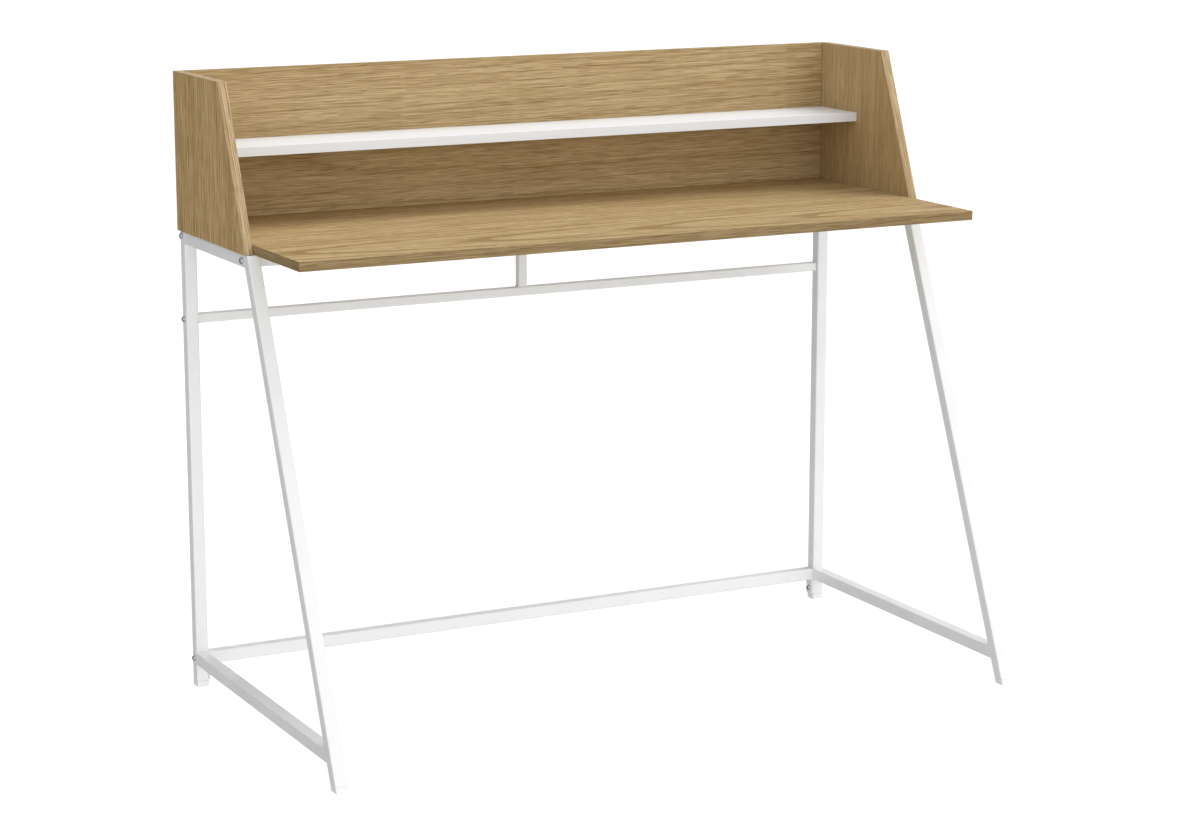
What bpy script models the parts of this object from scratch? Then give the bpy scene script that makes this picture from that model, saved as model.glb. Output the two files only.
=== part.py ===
"""Computer desk: a laminate desktop and hutch on a bolted frame of square steel tube.

Lengths are in metres. +X is right, +Y is back and +Z is up. The origin is on the floor, under the
middle of the desk. Left and right are seen from the chair.
"""

import math

import bmesh
import bpy
from mathutils import Vector

# Clearance between pieces that touch, and around pins in their holes
GAP = 0.0003

# Boards
WIDTH = 1.200  # over the side panels' outer faces
BOARD = 0.015  # desktop and side panels
SHELF_BOARD = 0.015
BACK_BOARD = 0.012
DESK_DEPTH = 0.485
PANEL_HEIGHT = 0.252
PANEL_TOP_DEPTH = 0.201
PANEL_BOTTOM_DEPTH = 0.302
SHELF_DEPTH = 0.116
SHELF_CLEAR = 0.111  # from the desktop up to the shelf

# Tube frame
FRAME_HEIGHT = 0.750
TUBE = 0.020  # legs, side rails, crossbar and stretcher
RAIL_TUBE = 0.015  # rear rails and centre post
TUBE_WALL = 0.0012
TUBE_BEND = 0.0008  # inside radius of a tube's corners
SIDE_INSET = 0.0036  # frame inside the side panels' outer faces
REAR_INSET = 0.0028  # frame ahead of the side panels' rear edges
LEG_REACH = 0.619  # from the side panels' rear edges to the toe of the front foot
LEG_PROUD = 0.0023  # top of the front leg ahead of the side panel's front corner
MID_RAIL_DROP = 0.1415  # from the frame's top to the middle of the rear mid rail
LOW_RAIL_HEIGHT = 0.047  # from the floor to the middle of the bottom rails
CROSSBAR_SETBACK = 0.006  # from the front leg's rear face to the middle of the crossbar
END_PLATE = 0.0025  # tapped plate across each end of a cross member
EAR_INSET = 0.0005  # stretcher's end plate inside the tube's own faces
FOOT_HEIGHT = 0.0095
PLUG_LENGTH = 0.015  # foot's plug inside the leg

# Frame bolts and stretcher ear screws, with button heads
BOLT_RADIUS = 0.003
BOLT_HEAD_RADIUS = 0.00525
BOLT_HEAD_HEIGHT = 0.0033
BOLT_SOCKET = 0.004  # across flats
BOLT_SOCKET_DEPTH = 0.002
BOLT_TAIL = 0.006  # past the end plate
EAR_SCREW_DROP = 0.0163  # from the stretcher's underside to the ear screw
EAR_SCREW_TAIL = 0.008  # past the leg's wall

# Screws from the frame up into the desktop
SCREW_RADIUS = 0.002
SCREW_HEAD_RADIUS = 0.004
SCREW_HEAD_HEIGHT = 0.0024
SCREW_SOCKET = 0.0025
SCREW_SOCKET_DEPTH = 0.0015
SCREW_BITE = 0.010  # depth in the desktop
SCREW_COUNT = 4  # along each cross member
SCREW_FROM_END = 0.130

# Socket heads and pin ends
HEAD_RIM = 0.0006  # flat ring around a head's socket
PIN_CHAMFER = 0.0006

# Cam fittings and dowels in the boards
CAM_RADIUS = 0.006
CAM_COVER = 0.002  # board left behind a cam
CAM_REACH = 0.024  # from the side panel to the middle of the cam
CAM_SLOT_WIDTH = 0.0012
CAM_SLOT_LENGTH = 0.008
CAM_SLOT_DEPTH = 0.0012
CAM_BOLT_THREAD_RADIUS = 0.003
CAM_BOLT_THREAD_LENGTH = 0.010
CAM_BOLT_NECK_RADIUS = 0.0018
CAM_BOLT_HEAD_RADIUS = 0.0025
CAM_BOLT_HEAD_LENGTH = 0.003
DESK_CAM_FROM_REAR = 0.060
DESK_CAM_FROM_FRONT = 0.062  # from the side panel's front corner
BACK_CAM_FROM_TOP = 0.040
BACK_DOWEL_FROM_BASE = 0.040
DOWEL_RADIUS = 0.003
DOWEL_IN_PANEL = 0.010
DOWEL_IN_BOARD = 0.020
SHELF_DOWEL_FROM_EDGE = 0.025

# Modelling
ROUND_STEPS = 12  # sides of a round piece, a multiple of six for the hex sockets
DOME_STEPS = 3
CORNER_STEPS = 2
OVERCUT = 0.001  # cutters start this far outside a face
WELD = 0.00001
SMOOTH_ANGLE = math.radians(40)

# Directions
RIGHT = Vector((1, 0, 0))
BACK = Vector((0, 1, 0))
UP = Vector((0, 0, 1))
SIDES = (("left", -1), ("right", 1))

# Places that follow from the sizes
REAR = LEG_REACH / 2
PANEL_IN = WIDTH / 2 - BOARD
PANEL_BASE = FRAME_HEIGHT + GAP
PANEL_TOP = PANEL_BASE + PANEL_HEIGHT
PANEL_FRONT = REAR - PANEL_BOTTOM_DEPTH
DESK_MIDDLE = PANEL_BASE + BOARD / 2
DESK_TOP = PANEL_BASE + BOARD
BACK_MIDDLE = REAR - BACK_BOARD / 2
BACK_BASE = DESK_TOP + GAP
SHELF_BASE = DESK_TOP + SHELF_CLEAR
SHELF_REAR = REAR - BACK_BOARD - GAP
SHELF_FRONT = SHELF_REAR - SHELF_DEPTH
BOARD_END = PANEL_IN - GAP

TUBE_CORNER = TUBE_WALL + TUBE_BEND
FRAME_OUT = WIDTH / 2 - SIDE_INSET
FRAME_IN = FRAME_OUT - TUBE
LEG_X = FRAME_OUT - TUBE / 2
MEMBER_END = FRAME_IN - GAP
LEG_REAR = REAR - REAR_INSET
LEG_Y = LEG_REAR - TUBE / 2
RAIL_Y = LEG_REAR - RAIL_TUBE / 2
LEG_FOOT = FOOT_HEIGHT + GAP
TOP_RAIL_Z = FRAME_HEIGHT - TUBE / 2
REAR_RAIL_Z = FRAME_HEIGHT - RAIL_TUBE / 2
MID_RAIL_Z = FRAME_HEIGHT - MID_RAIL_DROP
EAR_SCREW_Z = LOW_RAIL_HEIGHT - TUBE / 2 - EAR_SCREW_DROP

# The front leg leans back by this much for each unit of height
LEG_SLOPE = (PANEL_FRONT - LEG_PROUD + REAR) / FRAME_HEIGHT
LEG_STRETCH = math.hypot(1, LEG_SLOPE)
LEG_REAR_NORMAL = Vector((0, 1, -LEG_SLOPE)) / LEG_STRETCH


def front_leg_rear(height):
    """Y of the front leg's rear face."""
    return -REAR + LEG_SLOPE * height + TUBE * LEG_STRETCH


def front_leg_middle(height):
    """Y of the front leg's centre line."""
    return front_leg_rear(height) - TUBE * LEG_STRETCH / 2


def rear_leg_middle(height):
    """Y of the rear leg's centre line, which is upright."""
    return LEG_Y


LEG_MIDDLES = {"rear": rear_leg_middle, "front": front_leg_middle}
CROSSBAR_Y = front_leg_rear(TOP_RAIL_Z) + CROSSBAR_SETBACK


# Scene, materials and objects

def clear_scene():
    for old in list(bpy.data.objects):
        bpy.data.objects.remove(old)


def linear(channel):
    """One sRGB channel, 0 to 255, as linear light."""
    share = channel / 255
    if share <= 0.04045:
        return share / 12.92
    return ((share + 0.055) / 1.055) ** 2.4


def finish(name, colour, roughness, metallic):
    """Principled material with a colour given as #RRGGBB."""
    material = bpy.data.materials.new(name)
    material.use_nodes = True
    shader = material.node_tree.nodes["Principled BSDF"]
    channels = [linear(channel) for channel in bytes.fromhex(colour[1:])]
    shader.inputs["Base Color"].default_value = (*channels, 1)
    shader.inputs["Roughness"].default_value = roughness
    shader.inputs["Metallic"].default_value = metallic
    return material


def group(name, parent=None):
    """Empty that carries the pieces of one sub-assembly."""
    empty = bpy.data.objects.new(name, None)
    bpy.context.scene.collection.objects.link(empty)
    empty.parent = parent
    return empty


def piece(name, mesh, material, parent, location=(0, 0, 0), outward=UP):
    """Named object whose own +Z points along outward."""
    if not mesh.materials:
        mesh.materials.append(material)
    item = bpy.data.objects.new(name, mesh)
    bpy.context.scene.collection.objects.link(item)
    item.parent = parent
    item.location = location
    item.rotation_mode = "QUATERNION"
    item.rotation_quaternion = UP.rotation_difference(outward)
    return item


def helper(name, mesh, location=(0, 0, 0), outward=UP):
    """Hidden solid that another piece is cut by or joined with."""
    item = bpy.data.objects.new(name, mesh)
    bpy.context.scene.collection.objects.link(item)
    item.location = location
    item.rotation_mode = "QUATERNION"
    item.rotation_quaternion = UP.rotation_difference(outward)
    item.hide_render = True
    item.display_type = "WIRE"
    return item


def combine(target, tool, operation):
    modifier = target.modifiers.new(tool.name, "BOOLEAN")
    modifier.operation = operation
    modifier.solver = "EXACT"
    modifier.object = tool


# Meshes

def finished(shape, name):
    """Closes a bmesh into a mesh with its faces outwards and its round stretches smooth."""
    bmesh.ops.remove_doubles(shape, verts=shape.verts, dist=WELD)
    bmesh.ops.recalc_face_normals(shape, faces=shape.faces)
    mesh = bpy.data.meshes.new(name)
    shape.to_mesh(mesh)
    shape.free()
    mesh.shade_smooth()
    mesh.set_sharp_from_angle(angle=SMOOTH_ANGLE)
    return mesh


def push(shape, span, near_normal, far_normal):
    """Extrudes every face by span, and slides both ends along it onto their planes."""
    axis = span.normalized()
    near = list(shape.verts)
    grown = bmesh.ops.extrude_face_region(shape, geom=list(shape.faces))["geom"]
    far = [item for item in grown if isinstance(item, bmesh.types.BMVert)]
    bmesh.ops.translate(shape, verts=far, vec=span)
    for verts, point, normal in ((near, Vector(), near_normal), (far, span, far_normal)):
        for vert in verts:
            vert.co += axis * ((point - vert.co).dot(normal) / axis.dot(normal))


def square_section(side, corner, axis):
    """Bmesh of one square face across an axis, with round corners."""
    across = BACK if axis == RIGHT else RIGHT
    other = axis.cross(across)
    half = side / 2
    shape = bmesh.new()
    corners = ((half, half), (-half, half), (-half, -half), (half, -half))
    verts = [shape.verts.new(across * u + other * v) for u, v in corners]
    shape.faces.new(verts)
    bmesh.ops.bevel(
        shape, geom=verts, offset=corner, segments=CORNER_STEPS, profile=0.5, affect="VERTICES"
    )
    return shape


def bar_mesh(name, side, corner, span, normal):
    """Solid square bar along span, with both ends cut to one normal."""
    shape = square_section(side, corner, span.normalized())
    push(shape, span, normal, normal)
    return finished(shape, name)


def tube_mesh(name, side, span, near_normal, far_normal):
    """Open square tube along span, with its ends cut to its neighbours' planes."""
    shape = square_section(side, TUBE_CORNER, span.normalized())
    shape.faces.ensure_lookup_table()
    inside = shape.faces[0]
    bmesh.ops.inset_region(
        shape, faces=[inside], thickness=TUBE_WALL, use_boundary=True, use_even_offset=True
    )
    bmesh.ops.delete(shape, geom=[inside], context="FACES_ONLY")
    push(shape, span, near_normal, far_normal)
    return finished(shape, name)


def box_mesh(name, size):
    """Box of this size about its own middle."""
    shape = bmesh.new()
    bmesh.ops.create_cube(shape, size=1)
    bmesh.ops.scale(shape, verts=shape.verts, vec=size)
    return finished(shape, name)


def round_mesh(name, profile):
    """Solid turned about Z; the profile of radius and height pairs starts and ends on the axis."""
    shape = bmesh.new()
    verts = [shape.verts.new((radius, 0, height)) for radius, height in profile]
    edges = [shape.edges.new(pair) for pair in zip(verts, verts[1:])]
    bmesh.ops.spin(
        shape, geom=verts + edges, axis=UP, angle=math.tau, steps=ROUND_STEPS, use_merge=True
    )
    return finished(shape, name)


def pin_profile(radius, low, high):
    """Profile of a plain pin with chamfered ends."""
    blunt = radius - PIN_CHAMFER
    return [
        (0, low),
        (blunt, low),
        (radius, low + PIN_CHAMFER),
        (radius, high - PIN_CHAMFER),
        (blunt, high),
        (0, high),
    ]


def socket_screw_mesh(name, radius, length, head_radius, head_height, flats, socket_depth):
    """Button-head screw: the head sits on Z = 0, and a hex socket is sunk in its crown."""
    socket = flats / 2 / math.cos(math.pi / 6)
    crown = socket + HEAD_RIM
    profile = [(0, -length), (radius - PIN_CHAMFER, -length), (radius, PIN_CHAMFER - length)]
    profile += [(radius, 0), (head_radius, 0)]
    top_turn = math.acos(crown / head_radius)
    for step in range(1, DOME_STEPS + 1):
        turn = top_turn * step / DOME_STEPS
        height = head_height * math.sin(turn) / math.sin(top_turn)
        profile.append((head_radius * math.cos(turn), height))
    floor = head_height - socket_depth
    profile += [(socket, head_height), (socket, floor), (0, floor)]
    mesh = round_mesh(name, profile)
    for vert in mesh.vertices:
        on_wall = abs(vert.co.xy.length - socket) < WELD and vert.co.z >= floor - WELD
        sixth = math.atan2(vert.co.y, vert.co.x) / (math.pi / 3)
        if on_wall:
            off_corner = (sixth - round(sixth)) * math.pi / 3
            vert.co.xy *= math.cos(math.pi / 6) / math.cos(math.pi / 6 - abs(off_corner))
    return mesh


# Cuts

def pin_hole(target, start, direction, pin_radius, pin_depth):
    """Round hole from start along direction, for a pin that goes in this deep."""
    name = f"{target.name}.hole"
    radius = pin_radius + GAP
    depth = pin_depth + GAP
    profile = [(0, -OVERCUT), (radius, -OVERCUT), (radius, depth), (0, depth)]
    cutter = helper(name, round_mesh(name, profile), start, direction)
    combine(target, cutter, "DIFFERENCE")


# Sub-assemblies

def add_boards(parent, oak, white):
    """Desktop, side panels, back panel and shelf, by name."""
    boards = {}
    for side, sign in SIDES:
        name = f"{side}_side_panel"
        outline = (
            Vector((0, 0, 0)),
            Vector((0, -PANEL_BOTTOM_DEPTH, 0)),
            Vector((0, -PANEL_TOP_DEPTH, PANEL_HEIGHT)),
            Vector((0, 0, PANEL_HEIGHT)),
        )
        shape = bmesh.new()
        shape.faces.new([shape.verts.new(corner) for corner in outline])
        push(shape, RIGHT * sign * BOARD, RIGHT, RIGHT)
        corner = Vector((sign * PANEL_IN, REAR, PANEL_BASE))
        boards[name] = piece(name, finished(shape, name), oak, parent, corner)
    flat = (
        ("desktop", oak, REAR, DESK_DEPTH, PANEL_BASE, BOARD),
        ("back_panel", oak, REAR, BACK_BOARD, BACK_BASE, PANEL_TOP - BACK_BASE),
        ("shelf", white, SHELF_REAR, SHELF_DEPTH, SHELF_BASE, SHELF_BOARD),
    )
    for name, material, rear, depth, base, height in flat:
        mesh = box_mesh(name, Vector((2 * BOARD_END, depth, height)))
        middle = Vector((0, rear - depth / 2, base + height / 2))
        boards[name] = piece(name, mesh, material, parent, middle)
    return boards


def add_side_frames(parent, steel):
    """Legs and rails of both welded side frames, by name."""
    tubes = {}
    for side, sign in SIDES:
        frame = group(f"{side}_side_frame", parent)
        x = sign * LEG_X
        runs = []
        for leg, middle in LEG_MIDDLES.items():
            low = Vector((x, middle(LEG_FOOT), LEG_FOOT))
            high = Vector((x, middle(FRAME_HEIGHT), FRAME_HEIGHT))
            runs.append((f"{side}_{leg}_leg", low, high, UP, UP))
        for rail, z in (("top", TOP_RAIL_Z), ("bottom", LOW_RAIL_HEIGHT)):
            rear = Vector((x, LEG_REAR - TUBE - GAP, z))
            front = Vector((x, front_leg_rear(z) + GAP * LEG_STRETCH, z))
            runs.append((f"{side}_{rail}_rail", rear, front, BACK, LEG_REAR_NORMAL))
        for name, near, far, near_normal, far_normal in runs:
            mesh = tube_mesh(name, TUBE, far - near, near_normal, far_normal)
            tubes[name] = piece(name, mesh, steel, frame, near)
    return tubes


def add_cross_members(parent, steel):
    """Rear rails, centre post, front crossbar and bottom stretcher, by name."""
    members = {}
    closed = (
        ("rear_top_rail", RAIL_TUBE, RAIL_Y, REAR_RAIL_Z),
        ("rear_mid_rail", RAIL_TUBE, RAIL_Y, MID_RAIL_Z),
        ("front_crossbar", TUBE, CROSSBAR_Y, TOP_RAIL_Z),
        ("bottom_stretcher", TUBE, LEG_Y, LOW_RAIL_HEIGHT),
    )
    for name, side, y, z in closed:
        end = Vector((-MEMBER_END, y, z))
        bar = bar_mesh(name, side, TUBE_CORNER, RIGHT * 2 * MEMBER_END, RIGHT)
        members[name] = piece(name, bar, steel, parent, end)
        if name == "bottom_stretcher":
            add_ears(members[name])
        bore = f"{name}.bore"
        length = 2 * (MEMBER_END - END_PLATE)
        cavity = bar_mesh(bore, side - 2 * TUBE_WALL, TUBE_BEND, RIGHT * length, RIGHT)
        combine(members[name], helper(bore, cavity, end + RIGHT * END_PLATE), "DIFFERENCE")
    name = "rear_centre_post"
    low = Vector((0, RAIL_Y, MID_RAIL_Z + RAIL_TUBE / 2 + GAP))
    high = Vector((0, RAIL_Y, REAR_RAIL_Z - RAIL_TUBE / 2 - GAP))
    post = tube_mesh(name, RAIL_TUBE, high - low, UP, UP)
    members[name] = piece(name, post, steel, parent, low)
    return members


def add_ears(stretcher):
    """End plates that reach below the stretcher, down to the feet."""
    size = Vector((END_PLATE, TUBE - 2 * EAR_INSET, LOW_RAIL_HEIGHT - LEG_FOOT))
    for side, sign in SIDES:
        name = f"{side}_ear"
        middle = Vector((sign * (MEMBER_END - END_PLATE / 2), LEG_Y, LEG_FOOT + size.z / 2))
        combine(stretcher, helper(name, box_mesh(name, size), middle), "UNION")


def add_feet(parent, plastic):
    """End caps under the four legs, by name."""
    feet = {}
    plug_side = TUBE - 2 * TUBE_WALL - 2 * GAP
    for side, sign in SIDES:
        for leg, middle in LEG_MIDDLES.items():
            name = f"{side}_{leg}_foot"
            base, root, shoulder, tip = [
                Vector((sign * LEG_X, middle(height), height))
                for height in (0, FOOT_HEIGHT / 2, FOOT_HEIGHT, FOOT_HEIGHT + PLUG_LENGTH)
            ]
            cap = bar_mesh(name, TUBE, TUBE_CORNER, shoulder - base, UP)
            feet[name] = piece(name, cap, plastic, parent, base)
            plug = bar_mesh(f"{name}.plug", plug_side, TUBE_BEND, tip - root, UP)
            combine(feet[name], helper(plug.name, plug, root), "UNION")
    return feet


def add_frame_bolts(parent, zinc, tubes, members):
    """Bolts through the side frames into the cross members' end plates."""
    length = GAP + TUBE + GAP + END_PLATE + BOLT_TAIL
    mesh = socket_screw_mesh(
        "frame_bolt",
        BOLT_RADIUS,
        length,
        BOLT_HEAD_RADIUS,
        BOLT_HEAD_HEIGHT,
        BOLT_SOCKET,
        BOLT_SOCKET_DEPTH,
    )
    bolts = (
        ("rear_top_bolt", "rear_leg", "rear_top_rail", RAIL_Y, REAR_RAIL_Z),
        ("rear_mid_bolt", "rear_leg", "rear_mid_rail", RAIL_Y, MID_RAIL_Z),
        ("stretcher_bolt", "rear_leg", "bottom_stretcher", LEG_Y, LOW_RAIL_HEIGHT),
        ("crossbar_bolt", "top_rail", "front_crossbar", CROSSBAR_Y, TOP_RAIL_Z),
    )
    for side, sign in SIDES:
        outward = RIGHT * sign
        for name, tube, member, y, z in bolts:
            face = Vector((sign * FRAME_OUT, y, z))
            piece(f"{side}_{name}", mesh, zinc, parent, face + outward * GAP, outward)
            pin_hole(tubes[f"{side}_{tube}"], face, -outward, BOLT_RADIUS, TUBE + OVERCUT)
            plate = Vector((sign * MEMBER_END, y, z))
            pin_hole(members[member], plate, -outward, BOLT_RADIUS, END_PLATE + OVERCUT)


def add_ear_screws(parent, zinc, tubes, members, feet):
    """Screws through the stretcher's ears, the rear legs' inner walls and the feet's plugs."""
    grip = GAP + END_PLATE + GAP + TUBE_WALL
    mesh = socket_screw_mesh(
        "ear_screw",
        BOLT_RADIUS,
        grip + EAR_SCREW_TAIL,
        BOLT_HEAD_RADIUS,
        BOLT_HEAD_HEIGHT,
        BOLT_SOCKET,
        BOLT_SOCKET_DEPTH,
    )
    for side, sign in SIDES:
        inward = RIGHT * -sign
        face = Vector((sign * (MEMBER_END - END_PLATE), LEG_Y, EAR_SCREW_Z))
        piece(f"{side}_ear_screw", mesh, zinc, parent, face + inward * GAP, inward)
        through = (
            members["bottom_stretcher"],
            tubes[f"{side}_rear_leg"],
            feet[f"{side}_rear_foot"],
        )
        for target in through:
            pin_hole(target, face, -inward, BOLT_RADIUS, grip + EAR_SCREW_TAIL)


def add_desktop_screws(parent, zinc, members, desktop):
    """Screws up through the crossbar and the rear top rail into the desktop."""
    rows = (
        ("front", "front_crossbar", TUBE, CROSSBAR_Y),
        ("rear", "rear_top_rail", RAIL_TUBE, RAIL_Y),
    )
    first = -MEMBER_END + SCREW_FROM_END
    step = -2 * first / (SCREW_COUNT - 1)
    for row, member, side, y in rows:
        length = GAP + side + GAP + SCREW_BITE
        mesh = socket_screw_mesh(
            f"{row}_desktop_screw",
            SCREW_RADIUS,
            length,
            SCREW_HEAD_RADIUS,
            SCREW_HEAD_HEIGHT,
            SCREW_SOCKET,
            SCREW_SOCKET_DEPTH,
        )
        for number in range(SCREW_COUNT):
            under = Vector((first + step * number, y, FRAME_HEIGHT - side))
            name = f"{row}_desktop_screw_{number + 1}"
            piece(name, mesh, zinc, parent, under - UP * GAP, -UP)
            pin_hole(members[member], under, UP, SCREW_RADIUS, side + OVERCUT)
            seat = Vector((under.x, under.y, PANEL_BASE))
            pin_hole(desktop, seat, UP, SCREW_RADIUS, SCREW_BITE)


def cam_bolt_mesh():
    """Cam bolt along +Z: its thread is below Z = 0, in the side panel, and its head in the cam."""
    neck_end = CAM_REACH - CAM_BOLT_HEAD_LENGTH / 2
    blunt = CAM_BOLT_THREAD_RADIUS - PIN_CHAMFER
    profile = [
        (0, -CAM_BOLT_THREAD_LENGTH),
        (blunt, -CAM_BOLT_THREAD_LENGTH),
        (CAM_BOLT_THREAD_RADIUS, PIN_CHAMFER - CAM_BOLT_THREAD_LENGTH),
        (CAM_BOLT_THREAD_RADIUS, 0),
        (CAM_BOLT_NECK_RADIUS, 0),
        (CAM_BOLT_NECK_RADIUS, neck_end),
        (CAM_BOLT_HEAD_RADIUS, neck_end),
        (CAM_BOLT_HEAD_RADIUS, neck_end + CAM_BOLT_HEAD_LENGTH),
        (0, neck_end + CAM_BOLT_HEAD_LENGTH),
    ]
    return round_mesh("cam_bolt", profile)


def add_cam(parent, name, zinc, bolt_mesh, panel, board, seat, inward, outward, thickness):
    """Cam fitting: a bolt in the side panel at seat, and a cam in the board's outward face."""
    piece(f"{name}_cam_bolt", bolt_mesh, zinc, parent, seat, inward)
    pin_hole(panel, seat, -inward, CAM_BOLT_THREAD_RADIUS, CAM_BOLT_THREAD_LENGTH)
    pin_hole(board, seat + inward * GAP, inward, CAM_BOLT_HEAD_RADIUS, CAM_REACH)

    depth = thickness - CAM_COVER
    middle = seat + inward * CAM_REACH
    face = middle + outward * thickness / 2
    pin_hole(board, face, -outward, CAM_RADIUS, depth)
    mesh = round_mesh(f"{name}_cam", pin_profile(CAM_RADIUS, -depth, 0))
    cam = piece(f"{name}_cam", mesh, zinc, parent, face, outward)
    head_end = CAM_RADIUS + CAM_BOLT_HEAD_LENGTH / 2
    pin_hole(cam, middle - inward * CAM_RADIUS, inward, CAM_BOLT_HEAD_RADIUS, head_end)
    slot = Vector((CAM_SLOT_LENGTH, CAM_SLOT_WIDTH, 2 * CAM_SLOT_DEPTH))
    for size in (slot, slot.yxz):
        slot_name = f"{name}_cam.slot"
        cutter = helper(slot_name, box_mesh(slot_name, size), face, outward)
        combine(cam, cutter, "DIFFERENCE")


def add_cams(parent, zinc, boards):
    """Cam fittings that pull the desktop and the back panel against the side panels."""
    bolt_mesh = cam_bolt_mesh()
    desk_rows = (("rear", REAR - DESK_CAM_FROM_REAR), ("front", PANEL_FRONT + DESK_CAM_FROM_FRONT))
    for side, sign in SIDES:
        panel = boards[f"{side}_side_panel"]
        inward = RIGHT * -sign
        for row, y in desk_rows:
            seat = Vector((sign * PANEL_IN, y, DESK_MIDDLE))
            name = f"{side}_{row}_desktop"
            add_cam(parent, name, zinc, bolt_mesh, panel, boards["desktop"], seat, inward, -UP, BOARD)
        seat = Vector((sign * PANEL_IN, BACK_MIDDLE, PANEL_TOP - BACK_CAM_FROM_TOP))
        board = boards["back_panel"]
        add_cam(parent, f"{side}_back", zinc, bolt_mesh, panel, board, seat, inward, BACK, BACK_BOARD)


def add_dowels(parent, beech, boards):
    """Dowels that hang the shelf and the back panel between the side panels."""
    mesh = round_mesh("dowel", pin_profile(DOWEL_RADIUS, -DOWEL_IN_PANEL, DOWEL_IN_BOARD))
    shelf_middle = SHELF_BASE + SHELF_BOARD / 2
    rows = (
        ("front_shelf_dowel", "shelf", SHELF_FRONT + SHELF_DOWEL_FROM_EDGE, shelf_middle),
        ("rear_shelf_dowel", "shelf", SHELF_REAR - SHELF_DOWEL_FROM_EDGE, shelf_middle),
        ("back_dowel", "back_panel", BACK_MIDDLE, BACK_BASE + BACK_DOWEL_FROM_BASE),
    )
    for side, sign in SIDES:
        inward = RIGHT * -sign
        for name, board, y, z in rows:
            seat = Vector((sign * PANEL_IN, y, z))
            piece(f"{side}_{name}", mesh, beech, parent, seat, inward)
            pin_hole(boards[f"{side}_side_panel"], seat, -inward, DOWEL_RADIUS, DOWEL_IN_PANEL)
            pin_hole(boards[board], seat + inward * GAP, inward, DOWEL_RADIUS, DOWEL_IN_BOARD)


def main():
    clear_scene()
    oak = finish("oak_laminate", "#B79F74", 0.45, 0.0)
    white = finish("white_laminate", "#ECEBE8", 0.4, 0.0)
    steel = finish("white_powder_coat", "#EDEDEC", 0.35, 0.0)
    plastic = finish("white_plastic", "#E6E6E4", 0.5, 0.0)
    zinc = finish("zinc_plated_steel", "#C9CCCF", 0.25, 1.0)
    beech = finish("beech", "#D8B98C", 0.7, 0.0)

    desk = group("desk")
    hutch = group("boards", desk)
    frame = group("frame", desk)
    fittings = group("fittings", desk)

    boards = add_boards(hutch, oak, white)
    tubes = add_side_frames(frame, steel)
    members = add_cross_members(frame, steel)
    feet = add_feet(frame, plastic)
    add_frame_bolts(fittings, zinc, tubes, members)
    add_ear_screws(fittings, zinc, tubes, members, feet)
    add_desktop_screws(fittings, zinc, members, boards["desktop"])
    add_cams(fittings, zinc, boards)
    add_dowels(fittings, beech, boards)


main()
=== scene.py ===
"""Computer desk, dressed: oak-print boards on a powder-coated frame of square tube.

Lengths are in metres. +X is right, +Y is back and +Z is up, and the origin is on the floor under the
middle of the desk. Left and right are seen from the chair.
"""

import logging
import math
from collections.abc import Callable, Iterator
from contextlib import contextmanager
from dataclasses import dataclass, field
from enum import Enum
from typing import Any

import bmesh
import bpy
from bpy.types import Material, Node, NodeSocket, NodeTree, Object
from mathutils import Matrix, Vector


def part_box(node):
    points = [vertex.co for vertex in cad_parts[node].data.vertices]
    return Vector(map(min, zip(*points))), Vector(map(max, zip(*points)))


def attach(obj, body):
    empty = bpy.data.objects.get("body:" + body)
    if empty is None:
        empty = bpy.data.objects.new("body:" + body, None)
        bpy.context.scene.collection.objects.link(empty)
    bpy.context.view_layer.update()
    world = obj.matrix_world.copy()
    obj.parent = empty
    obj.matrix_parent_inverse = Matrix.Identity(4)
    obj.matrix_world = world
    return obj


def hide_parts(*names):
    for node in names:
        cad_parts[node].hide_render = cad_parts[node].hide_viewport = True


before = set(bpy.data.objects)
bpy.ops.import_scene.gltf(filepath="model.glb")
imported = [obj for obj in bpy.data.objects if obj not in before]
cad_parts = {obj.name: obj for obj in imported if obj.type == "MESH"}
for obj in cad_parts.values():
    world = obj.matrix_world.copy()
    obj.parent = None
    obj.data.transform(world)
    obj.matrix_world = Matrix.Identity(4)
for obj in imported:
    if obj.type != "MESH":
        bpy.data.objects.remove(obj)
log = logging.getLogger("desk")

Pair = tuple[float, float]
Test = Callable[[Vector, Vector], bool]
Pockets = tuple[tuple[Vector, Vector], ...]  # middle of each mouth, and the way in

RIGHT = Vector((1, 0, 0))
BACK = Vector((0, 1, 0))
UP = Vector((0, 0, 1))
LEAN = 0.4196  # how far a front leg goes back for each unit of height
BODY = "root"
FACING = 0.99  # cosine above which a face looks in a given direction
ALONG = 0.9  # cosine above which an edge runs along a given direction
TINY = 1e-5  # slack where heights are compared
OVERCUT = 0.001  # how far a cutting tool stands out of the face it enters
SMOOTH = 40.0  # degrees between faces that are smoothed into one
UNIT = (0.0, 1.0)  # all the levels that a noise can have
NOISE_SPAN = (0.3, 0.7)  # levels that most of a noise lies between
WAVE_PHASE = 20  # radians that the wave texture runs through in one unit
MIX_FACTOR, MIX_A, MIX_B, MIX_RESULT = 0, 6, 7, 2  # sockets of a colour Mix, whose names repeat


class Slot(Enum):
    """Material slots, which each finish carries."""

    OAK = "oak_laminate"
    WHITE_BOARD = "white_laminate"
    COAT = "white_powder_coat"
    PLASTIC = "white_plastic"
    ZINC = "zinc_plated_steel"
    BEECH = "beech"


class Side(Enum):
    """Sides of the desk, with the sign of their X."""

    LEFT = -1
    RIGHT = 1

    @property
    def word(self) -> str:
        """The side's name, as the solids' names begin."""
        return self.name.lower()


class Grain(Enum):
    """Turns, in degrees, that bring a board's grain onto X."""

    ACROSS = (0.0, 0.0, 0.0)
    DEEP = (0.0, 0.0, -90.0)
    UPRIGHT = (0.0, 90.0, 0.0)
    SLANTED = (21.84, 90.0, 0.0)  # up the front edge of a side panel


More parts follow.
